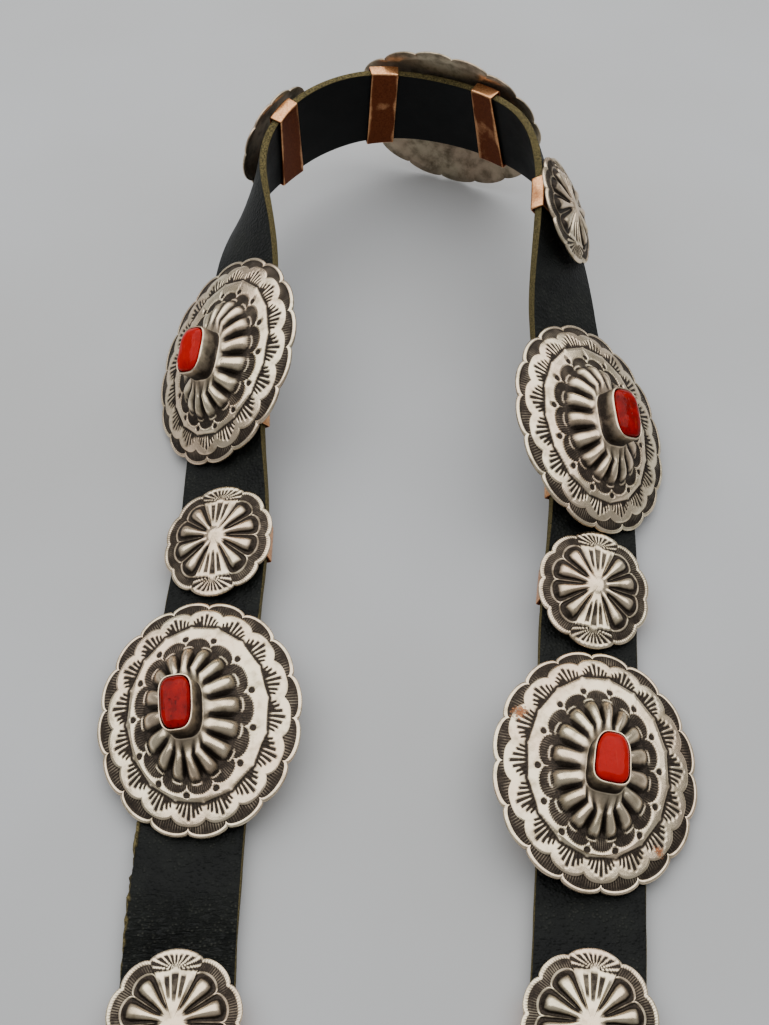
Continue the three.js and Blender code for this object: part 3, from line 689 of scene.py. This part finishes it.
    inner = mixed(petals, field - end_edge * 0.5, at_end)
    upper = mixed(plate + crescent_relief, inner, mixed(inside_arc, share(reach, 0.88, 0.8), at_end))
    upper = upper - in_wedge * 0.26 - in_punch * 0.32
    boss = climb(reach, [(0.03, SMALL_BOSS_TOP), (0.09, 4.62), (0.14, 4.3), (0.18, 4.0)])
    upper = mixed(upper, boss, share(reach, 0.2, 0.14))
    hollow = [(0, SMALL_HOLLOW_TOP - 0.1), (1, 1.4), (2, 0.6)]
    lower = climb(ring, hollow + [(3, 0), (4, 0.2), (5, 0.6), (6, SMALL_GAUGE)])
    height = mixed(lower, upper, share(ring, 5.5, 6))
    pole = mixed(SMALL_HOLLOW_TOP, SMALL_BOSS_TOP, share(ring, 10, 20))

    dark = greater(greater(crescent_dark, petal_dark), greater(in_wedge, in_punch * 0.82))
    dark = greater(dark, end_edge * 0.6)
    dark = mixed(0.5, dark, share(ring, 4, 6))
    shape = stored(tree, skin, "tarnish", dark * off_pole)
    place = combined(tree, x * off_pole, y * off_pole, mixed(pole, height, off_pole))
    finished(tree, moved(tree, shape, place), material)
    return tree


def stone_tree(material):
    """The coral: straight sides in the bezel, a low dome over it, slightly uneven and pitted."""
    tree, _, size = new_tree("domed_stone", [*STONE_SIZES, "Deep", "Pits"])
    skin, column, ring, off_pole = closed_skin(tree, STONE_COLUMNS, STONE_RINGS)
    angle = column * (math.tau / STONE_COLUMNS)
    part = climb(
        ring, [(0, 0.3), (2, 0.93), (3, 0.96), (8, 1), (12, 0.97), (16, 0.9), (24, 0.62), (35, 0.05)]
    )
    domed = (1 - maths("MINIMUM", part, 1) ** 3.5) ** 0.6
    low = climb(ring, [(0, CORAL_SEAT), (2, CORAL_SEAT), (3, CORAL_SEAT + 0.2), (8, BEZEL_TOP)])
    rise = mixed(low, domed * (CORAL_TOP - BEZEL_TOP) + BEZEL_TOP, share(ring, 8, 9))
    x, y = stone_outline(size, angle, part * off_pole, 0, rise)
    rough_place = combined(tree, x, y, size["Deep"] * 40)
    dimples = noise(tree, rough_place, 0.35, 1) - 0.5
    pits = share(noise(tree, rough_place, 1.1, 3), 0.62, 0.7) * size["Pits"]
    on_top = share(ring, 9, 13)
    z = rise + (dimples * 0.35 - pits * 0.2) * on_top * share(part, 1, 0.8)
    shape = stored(tree, skin, "deep", size["Deep"] + pits * 0.5)
    finished(tree, moved(tree, shape, combined(tree, x, y, z)), material)
    return tree


def rounded_section(column, half_width, half_height, corner):
    """A rounded rectangle: how far each of its columns is aside, and how far out."""
    stops = []
    for start, sign in ((0, 1), (SECTION_COLUMNS // 2, -1)):
        stops.append((start, -sign, sign, 1, 0))
        for step in range(5):
            turn = step * math.pi / 8
            stops.append((start + 22 + step, sign, sign, 1 - math.sin(turn), 1 - math.cos(turn)))
        for step in range(4):
            turn = (4 - step) * math.pi / 8
            stops.append((start + 28 + step, sign, -sign, 1 - math.sin(turn), 1 - math.cos(turn)))
    stops.append((SECTION_COLUMNS, -1, 1, 1, 0))
    aside = climb(column, [(at, side) for at, side, _, _, _ in stops]) * half_width
    aside = aside - climb(column, [(at, side * inset) for at, side, _, inset, _ in stops]) * corner
    out = climb(column, [(at, face) for at, _, face, _, _ in stops]) * half_height
    out = out - climb(column, [(at, face * inset) for at, _, face, _, inset in stops]) * corner
    return aside * -1, out


def band_tree(material, stations):
    """The strap: a leather band along a path, its cut edges a little worn and one of them ragged."""
    tree, entry, size = new_tree("leather_band", ["Thickness"])
    skin, column, station, off_pole = closed_skin(tree, SECTION_COLUMNS, stations)
    path = entry.outputs["Geometry"]
    middle = from_path(tree, path, "position", station)
    across = from_path(tree, path, "across", station)
    out = from_path(tree, path, "out", station)
    facts = tree.nodes.new("ShaderNodeSeparateXYZ")
    tree.links.new(from_path(tree, path, "facts", station), facts.inputs[0])
    row, half_width, loose = (Field(tree, socket) for socket in facts.outputs)
    half = size["Thickness"] / 2
    aside, lift = rounded_section(column, half_width, half, 0.4)
    outer = share(aside / half_width, 0.9, 1)
    grain_side = share(lift, 0, half)

    # Ragged stretch of the left leg's outer edge, and creases across the leg
    millimetres = row * ROW_SPACING
    ragged = share(row, 3.5, 4.1) * share(row, 5.7, 5.1) * outer
    tufts = share(noise(tree, combined(tree, millimetres, lift * 0.8, 3), 0.45, 3, 0.7), 0.42, 0.68)
    first, second = (share(size_of(row - at), reach, 0) * depth for at, reach, depth in CREASES)
    crease = first + second
    wander = noise(tree, combined(tree, millimetres, 0, 0), 0.05, 1) - 0.5
    swell = noise(tree, combined(tree, millimetres * 0.4, aside, 7), 0.12, 1) - 0.5
    aside = aside + wander * loose * 0.7 + (tufts * 1.6 - 0.4) * ragged
    lift = lift - crease * grain_side + swell * loose * grain_side * 0.3
    place = stepped(tree, stepped(tree, middle, across, aside * off_pole), out, lift * off_pole)
    cut = share(size_of(aside) - half_width, -0.42, -0.12)
    shape = stored(tree, skin, "cut", greater(cut, 1 - off_pole))
    shape = stored(tree, shape, "flesh", share(lift, -0.9, -1.2))
    shape = stored(tree, shape, "fray", ragged)
    shape = stored(tree, shape, "creased", share(size_of(row - CREASED_ROW), 0.55, 0.05))
    finished(tree, moved(tree, shape, place), material)
    return tree


def strip_tree(material):
    """A copper strip that goes round the strap and is closed behind it."""
    tree, entry, size = new_tree("copper_strip", ["Half width", "Half height", "Thickness", "Age"])
    skin, column, ring, _ = closed_skin(tree, SECTION_COLUMNS, LOOP_RINGS, caps="NONE")
    path = entry.outputs["Geometry"]
    spacing = LOOP_WIDTH / (LOOP_STATIONS - 1)
    edge = LOOP_WIDTH / 2

    # Rings go over the outside from one edge to the other and back inside: ring, place along the strap and
    # share of the thickness
    section = [
        (0, -edge, 0.6),
        (1, 0.1 - edge, 0.9),
        (2, 0.35 - edge, 1),
        (10, edge - 0.35, 1),
        (11, edge - 0.1, 0.9),
        (12, edge, 0.6),
        (13, edge, 0.2),
        (14, edge - 0.1, 0),
        (22, 0.1 - edge, 0),
        (23, -edge, 0.2),
        (24, -edge, 0.6),
    ]
    along_by = climb(ring, [(number, along) for number, along, _ in section])
    through = climb(ring, [(number, part) for number, _, part in section])
    station = maths("ROUND", (along_by + edge) / spacing)
    shift = along_by + edge - station * spacing
    grow = through * size["Thickness"]
    corner = mixed(0.15, LOOP_CORNER, through)
    aside, lift = rounded_section(column, size["Half width"] + grow, size["Half height"] + grow, corner)
    wobble_place = combined(tree, aside, along_by, lift + size["Age"])
    wobble = (noise(tree, wobble_place, 0.22, 2) - 0.5) * through
    lift = lift + wobble * share(lift, 0, 2) * 0.22
    middle = from_path(tree, path, "position", station)
    middle = stepped(tree, middle, from_path(tree, path, "along", station), shift)
    middle = stepped(tree, middle, from_path(tree, path, "across", station), aside)
    place = stepped(tree, middle, from_path(tree, path, "out", station), lift)
    # Bare metal where the strip's edges are worn, and a painted highlight where it bends round the strap's
    # edges, both kept as worn.
    bend_highlight = share(size_of(aside) - size["Half width"], 0.1, 0.5)
    worn = greater(share(size_of(along_by), edge - 0.7, edge), bend_highlight) * share(through, 0.4, 0.8)
    shape = stored(tree, skin, "worn", worn)
    welded = tree.nodes.new("GeometryNodeMergeByDistance")
    welded.inputs["Distance"].default_value = 0.001
    tree.links.new(moved(tree, shape, place), welded.inputs["Geometry"])
    finished(tree, welded.outputs[0], material)
    return tree


def path_mesh(name, stations):
    """A row of points that carry their stations' directions and facts."""
    mesh = bpy.data.meshes.new(name)
    mesh.from_pydata([station["point"] for station in stations], [], [])
    for label in ("along", "across", "out", "facts"):
        values = np.array([station[label] for station in stations], dtype=np.float32)
        attribute = mesh.attributes.new(label, "FLOAT_VECTOR", "POINT")
        attribute.data.foreach_set("vector", values.ravel())
    return mesh


def station_at(stand, row=0, half_width=STRAP_WIDTH / 2, loose=0):
    """A station of a path from its stand: a point and the directions along, across and out."""
    point, along, across, out = stand
    facts = (row, half_width, loose)
    return {"point": point, "along": along, "across": across, "out": out, "facts": facts}


def fold():
    """The strap's way round the buckle's bar: radius, bar, heading, and stands from the flap's end."""
    point, along, across, out = strap_frame(FOLD_ROW)
    slope = math.asin(-along[2])
    radius = (point[2] - STRAP_THICKNESS / 2) / (1 + math.cos(slope))
    bar = point - radius * out
    heading = np.array([along[0], along[1], 0])
    heading /= np.linalg.norm(heading)

    def turned(angle, back=0):
        facing = np.array([0, 0, -math.cos(angle)]) - heading * math.sin(angle)
        return bar + radius * facing + heading * back, np.cross(across, facing), across, facing

    flap = [turned(0, FLAP_LENGTH * (1 - step / FLAP_STATIONS)) for step in range(FLAP_STATIONS)]
    arc = [turned((math.pi - slope) * step / FOLD_STATIONS) for step in range(FOLD_STATIONS)]
    return radius, bar, heading, flap + arc


def loop_rows():
    """The row of the strap at which each copper loop sits."""
    rows = {place: seat["row"] for place, seat in SMALL.items()}
    for place, pair in LARGE_LOOPS.items():
        for letter, offset in zip("ab", pair):
            rows[f"{place}_{letter}"] = LARGE[place]["row"] + offset / ROW_SPACING
    return rows


def strap_stations():
    """Every station of the strap: flap, fold, the long run and the rounded tip."""
    half = STRAP_WIDTH / 2
    stations = [station_at(stand, row=FOLD_ROW - 1) for stand in fold()[3]]
    body = TIP_ROW - half / ROW_SPACING
    loops = loop_rows().values()
    for row in np.linspace(FOLD_ROW, body, RUN_STATIONS):
        clear = min(abs(row - loop) for loop in loops) * ROW_SPACING - LOOP_WIDTH / 2
        loose = min(max(clear / LOOSE_AFTER, 0), 1) * min(max((row - 2) / 2, 0), 1)
        stations.append(station_at(strap_frame(row), row, half, loose))
    for step in range(1, TIP_STATIONS):
        angle = math.pi / 2 * step / TIP_STATIONS
        row = body + half * math.sin(angle) / ROW_SPACING
        stations.append(station_at(strap_frame(row), row, half * math.cos(angle)))
    return stations


def cutter(name, stand, sides, radius, depth, stretch=(1, 1)):
    """A prism that cuts through the strap at a stand, with this many sides at this radius."""
    point, along, across, out = stand
    shape = bmesh.new()
    bmesh.ops.create_cone(
        shape, cap_ends=True, segments=sides, radius1=radius, radius2=radius, depth=2 * depth
    )
    if sides == 4:
        bmesh.ops.rotate(shape, verts=shape.verts, matrix=Matrix.Rotation(math.pi / 4, 3, "Z"))
    bmesh.ops.scale(shape, verts=shape.verts, vec=(*stretch, 1))
    mesh = bpy.data.meshes.new(name)
    shape.to_mesh(mesh)
    shape.free()
    place = Matrix.Translation(Vector(point)) @ axes_matrix(along, across, out)
    mesh.transform(Matrix.Scale(MM, 4) @ place)
    return in_scene(name, mesh)


def punched(piece, cutters):
    """Cuts the cutters out of a piece and leaves a plain mesh."""
    for tool in cutters:
        cut = piece.modifiers.new(tool.name, "BOOLEAN")
        cut.operation = "DIFFERENCE"
        cut.solver = "EXACT"
        cut.object = tool
    mesh = plain_mesh(piece)
    piece.modifiers.clear()
    piece.data = mesh
    for tool in cutters:
        bpy.data.objects.remove(tool)


def linear(red, green, blue):
    """A screen colour, 0 to 255, as the linear colour that a shader takes."""
    shares = [value / 255 for value in (red, green, blue)]
    return tuple(s / 12.92 if s <= 0.04045 else ((s + 0.055) / 1.055) ** 2.4 for s in shares) + (1,)


def new_material(name, colour, roughness, metallic=0):
    """A material with its plain values set on the shader, its tree and its shader."""
    material = bpy.data.materials.new(name)
    material.use_nodes = True
    tree = material.node_tree
    shader = tree.nodes["Principled BSDF"]
    shader.inputs["Base Color"].default_value = colour
    shader.inputs["Roughness"].default_value = roughness
    shader.inputs["Metallic"].default_value = metallic
    return material, tree, shader


def own_place(tree, stretch=(1, 1, 1)):
    """The place on the piece itself, in metres, drawn out where a grain is long."""
    coordinates = tree.nodes.new("ShaderNodeTexCoord")
    mapping = tree.nodes.new("ShaderNodeMapping")
    mapping.inputs["Scale"].default_value = stretch
    tree.links.new(coordinates.outputs["Object"], mapping.inputs["Vector"])
    return mapping.outputs[0]


def painted(tree, name):
    node = tree.nodes.new("ShaderNodeAttribute")
    node.attribute_name = name
    return Field(tree, node.outputs["Fac"])


def blended(tree, first, second, amount):
    """One colour laid over another by an amount."""
    node = tree.nodes.new("ShaderNodeMix")
    node.data_type = "RGBA"
    plug(tree, node.inputs["Factor"], amount)
    plug(tree, open_socket(node.inputs, "A"), first)
    plug(tree, open_socket(node.inputs, "B"), second)
    return open_socket(node.outputs, "Result")


def embossed(tree, shader, height, depth, strength=1):
    """Gives a surface fine relief of a depth in metres."""
    bump = tree.nodes.new("ShaderNodeBump")
    bump.inputs["Strength"].default_value = strength
    bump.inputs["Distance"].default_value = depth
    plug(tree, bump.inputs["Height"], height)
    tree.links.new(bump.outputs[0], shader.inputs["Normal"])


def cells(tree, place, scale):
    """Distance to the nearest of scattered points: pebbles, with hollows between them."""
    node = tree.nodes.new("ShaderNodeTexVoronoi")
    tree.links.new(place, node.inputs["Vector"])
    node.inputs["Scale"].default_value = scale
    return Field(tree, node.outputs["Distance"])


def silver_material():
    """Silver that is worn bright on its high parts and black with oxide in its stamp work, with a painted
    shadow line and painted highlight arcs on the large medallions.
    """
    material, tree, shader = new_material("silver", linear(240, 230, 208), 0.25, 1)
    place = own_place(tree)
    grime = noise(tree, place, 220, 4, 0.6)
    warmth = share(noise(tree, place, 60, 2), 0.35, 0.65)
    specks = noise(tree, place, 2600, 3, 0.6)
    dark = share(painted(tree, "tarnish") + (grime - 0.5) * 0.45, 0.08, 0.85)
    bright = blended(tree, linear(249, 232, 198), linear(238, 210, 180), warmth)
    grey = blended(tree, bright, linear(158, 142, 112), share(grime, 0.48, 0.7) * 0.7)
    oxide = blended(tree, linear(58, 48, 38), linear(34, 28, 23), share(specks, 0.4, 0.6))
    metal = blended(tree, grey, oxide, dark)
    rust_edge = noise(tree, place, 1300, 5, 0.8)
    rust = share(painted(tree, "rust") + (rust_edge - 0.5) * 2.6, 0.5, 0.75)
    rust_colour = blended(tree, linear(112, 54, 22), linear(206, 138, 88), share(rust_edge, 0.42, 0.62))
    tree.links.new(blended(tree, metal, rust_colour, rust), shader.inputs["Base Color"])
    plug(tree, shader.inputs["Metallic"], (1 - rust) * (1 - dark * 0.25))
    rough = mixed(0.2, 0.5, dark) + share(grime, 0.4, 0.75) * 0.12
    plug(tree, shader.inputs["Roughness"], mixed(rough, 0.8, rust))
    scratches = noise(tree, own_place(tree, (1, 9, 3)), 700, 4, 0.7)
    embossed(tree, shader, scratches * 0.5 + specks * mixed(0.25, 1, dark) + rust * 2, 0.00005, 0.6)
    return material


def coral_material():
    """Polished coral: red, clouded darker, with pale streaks."""
    material, tree, shader = new_material("coral", linear(198, 22, 8), 0.18)
    shader.inputs["Specular IOR Level"].default_value = 0.12
    place = own_place(tree)
    clouds = share(noise(tree, place, 260, 4, 0.6), 0.38, 0.66)
    deep = share(painted(tree, "deep") + (clouds - 0.5) * 0.5, 0, 1)
    red = blended(tree, linear(176, 5, 0), linear(94, 2, 2), deep)
    streaks = share(noise(tree, own_place(tree, (6, 1, 1)), 190, 3), 0.6, 0.72) * 0.22
    tree.links.new(blended(tree, red, linear(206, 62, 36), streaks), shader.inputs["Base Color"])
    plug(tree, shader.inputs["Roughness"], clouds * 0.12 + 0.12)
    embossed(tree, shader, noise(tree, place, 900, 3), 0.00008, 0.5)
    return material


def copper_material():
    """Copper gone brown, with pinkish metal where it is rubbed and a painted highlight where the strip
    bends round the strap's edges.
    """
    material, tree, shader = new_material("copper", linear(150, 84, 56), 0.4, 1)
    place = own_place(tree)
    patina = noise(tree, place, 75, 3, 0.5)
    fine = noise(tree, place, 1500, 3, 0.6)
    metal = blended(tree, linear(246, 190, 136), linear(212, 142, 94), share(fine, 0.35, 0.65))
    brown = blended(tree, linear(124, 66, 38), linear(96, 50, 30), share(fine, 0.35, 0.7))
    # Worn holds real wear at the strip's edges and a painted highlight at its bends.
    covered = share(patina - painted(tree, "worn") * 0.5, 0.14, 0.36)
    tree.links.new(blended(tree, metal, brown, covered), shader.inputs["Base Color"])
    plug(tree, shader.inputs["Roughness"], mixed(0.26, 0.52, covered) + fine * 0.1)
    embossed(tree, shader, patina * 2 + fine, 0.00006, 0.6)
    return material


def leather_material():
    """Black leather: pebbled grain outside, smooth flesh side, olive-tan where it was cut."""
    material, tree, shader = new_material("leather", linear(14, 15, 14), 0.5)
    shader.inputs["Specular IOR Level"].default_value = 0.15
    place = own_place(tree)
    pebbles = cells(tree, place, 900)
    fine = noise(tree, place, 2600, 3, 0.6)
    clouds = noise(tree, place, 90, 4, 0.6)
    flesh = painted(tree, "flesh")
    fray = painted(tree, "fray")
    fibres = noise(tree, own_place(tree, (1, 1, 6)), 1500, 4, 0.7)
    bare = share(painted(tree, "cut") + (fibres - 0.5) * 0.9 + fray * 0.2, 0.5, 0.8)
    creased = painted(tree, "creased")
    wrinkles = share(noise(tree, own_place(tree, (1, 4, 1)), 230, 4, 0.6), 0.42, 0.6)
    black = blended(tree, linear(7, 9, 7), linear(25, 27, 24), share(clouds, 0.4, 0.7))
    rubbed = share(pebbles, 0.4, 0.05) * (share(clouds, 0.45, 0.7) * 0.5 + creased * wrinkles * 0.5)
    worn = blended(tree, black, linear(74, 74, 66), rubbed)
    inside = blended(tree, worn, linear(13, 14, 14), flesh)
    tan = blended(tree, linear(124, 111, 70), linear(48, 43, 27), share(fibres, 0.38, 0.6))
    tree.links.new(blended(tree, inside, tan, bare), shader.inputs["Base Color"])
    plug(tree, shader.inputs["Roughness"], share(clouds, 0.3, 0.7) * 0.16 + 0.46 + bare * 0.3)
    grain = share(pebbles, 0, 0.6) * -1 + fine * 0.4 + wrinkles * (creased * 2 + 0.3)
    relief = mixed(grain, fine * 0.5, flesh)
    embossed(tree, shader, mixed(relief, fibres * 2, bare), 0.0003, 0.8)
    return material


def table_material():
    """Plain pale tabletop."""
    material, tree, shader = new_material("table", linear(186, 187, 187), 0.85)
    tone = noise(tree, own_place(tree), 6, 3)
    colour = blended(tree, linear(188, 189, 190), linear(181, 181, 180), share(tone, 0.35, 0.65))
    tree.links.new(colour, shader.inputs["Base Color"])
    return material


def camera():
    data = bpy.data.cameras.new("camera")
    data.lens = CAMERA_LENS
    data.sensor_width = CAMERA_SENSOR
    made = in_scene("camera", data)
    tilt = Matrix.Rotation(math.radians(CAMERA_TILT), 4, "X")
    roll = Matrix.Rotation(math.radians(CAMERA_ROLL), 4, "Z")
    made.matrix_world = Matrix.Translation(CAMERA_PLACE) @ tilt @ roll
    bpy.context.scene.camera = made


def floor():
    half = FLOOR_SIZE / 2
    corners = [(-half, -half), (half, -half), (half, half), (-half, half)]
    mesh = bpy.data.meshes.new("floor")
    mesh.from_pydata([(x, y, -FLOOR_DROP) for x, y in corners], [], [(0, 1, 2, 3)])
    made = in_scene("floor", mesh)
    mesh.materials.append(table_material())


def lights():
    world = bpy.data.worlds.new("sky")
    world.use_nodes = True
    sky = world.node_tree.nodes["Background"]
    sky.inputs["Color"].default_value = (*SKY_COLOUR, 1)
    sky.inputs["Strength"].default_value = SKY_STRENGTH
    bpy.context.scene.world = world
    data = bpy.data.lights.new("softbox", "AREA")
    data.shape = "RECTANGLE"
    data.size = SOFTBOX_WIDTH
    data.size_y = SOFTBOX_DEPTH
    data.energy = SOFTBOX_POWER
    made = in_scene("softbox", data)
    made.location = SOFTBOX_PLACE
    made.rotation_euler = (-Vector(SOFTBOX_PLACE)).to_track_quat("-Z", "Y").to_euler()


def stands_for(piece, node):
    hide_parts(node)
    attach(piece, "root")


def large_medallions(silver, coral):
    plates = oval_tree(silver)
    stones = stone_tree(coral)
    for place, seat in LARGE.items():
        sizes = {f"Stone {key}": value for key, value in STONES[place].items()}
        sizes.update({key.capitalize(): value for key, value in MARKS[place].items()})
        on_belt = on_strap(**seat, standoff=LARGE_STANDOFF)
        plate = grown(f"stamped_oval_{place}", plates, sizes, on_belt)
        stands_for(plate, f"medallion_large_{place}")
        stone = grown(f"domed_stone_{place}", stones, sizes, on_belt)
        stands_for(stone, f"coral_{place}")


def small_medallions(silver):
    flowers = flower_tree(silver)
    sizes = {"Length": SMALL_LENGTH, "Width": SMALL_WIDTH}
    for place, seat in SMALL.items():
        on_belt = on_strap(**seat, standoff=SMALL_STANDOFF)
        piece = grown(f"stamped_flower_{place}", flowers, sizes, on_belt)
        stands_for(piece, f"medallion_small_{place}")


def strap(leather):
    stations = strap_stations()
    tree = band_tree(leather, len(stations))
    sizes = {"Thickness": STRAP_THICKNESS}
    band = grown("leather_band", tree, sizes, Matrix(), path_mesh("strap_path", stations))
    tools = []
    for hole in range(HOLE_COUNT):
        row = TIP_ROW - (FIRST_HOLE + hole * HOLE_SPACING) / ROW_SPACING
        punch = cutter(f"punch_{hole}", strap_frame(row), HOLE_SIDES, HOLE_DIAMETER / 2, STRAP_THICKNESS)
        tools.append(punch)
    radius, bar, heading, stands = fold()
    across = stands[0][2]
    reach = radius + STRAP_THICKNESS
    middle = bar + heading * (SLOT_DEPTH - reach) / 2
    stretch = ((SLOT_DEPTH + reach) / 2, SLOT_WIDTH / 2)
    slot_stand = (middle, heading, across, np.cross(heading, across))
    tools.append(cutter("slot", slot_stand, 4, math.sqrt(2), reach, stretch))
    punched(band, tools)
    stands_for(band, "strap")


def copper_loops(copper):
    tree = strip_tree(copper)
    sizes = {
        "Half width": STRAP_WIDTH / 2 + LOOP_GAP,
        "Half height": STRAP_THICKNESS / 2 + LOOP_GAP,
        "Thickness": LOOP_THICKNESS,
    }
    parts = np.linspace(-0.5, 0.5, LOOP_STATIONS)
    for number, (place, row) in enumerate(loop_rows().items()):
        stations = [station_at(strap_frame(row + part * LOOP_WIDTH / ROW_SPACING)) for part in parts]
        sizes["Age"] = number * 7
        piece = grown(f"copper_strip_{place}", tree, sizes, Matrix(), path_mesh("loop_path", stations))
        stands_for(piece, f"copper_loop_{place}")


silver = silver_material()
coral = coral_material()
copper = copper_material()
leather = leather_material()
FINISHES = {"medallion": silver, "buckle": silver, "coral": coral, "copper": copper, "strap": leather}
for name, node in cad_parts.items():
    node.data.materials.clear()
    node.data.materials.append(FINISHES[name.split("_")[0]])

camera()
floor()
lights()
large_medallions(silver, coral)
small_medallions(silver)
strap(leather)
copper_loops(copper)
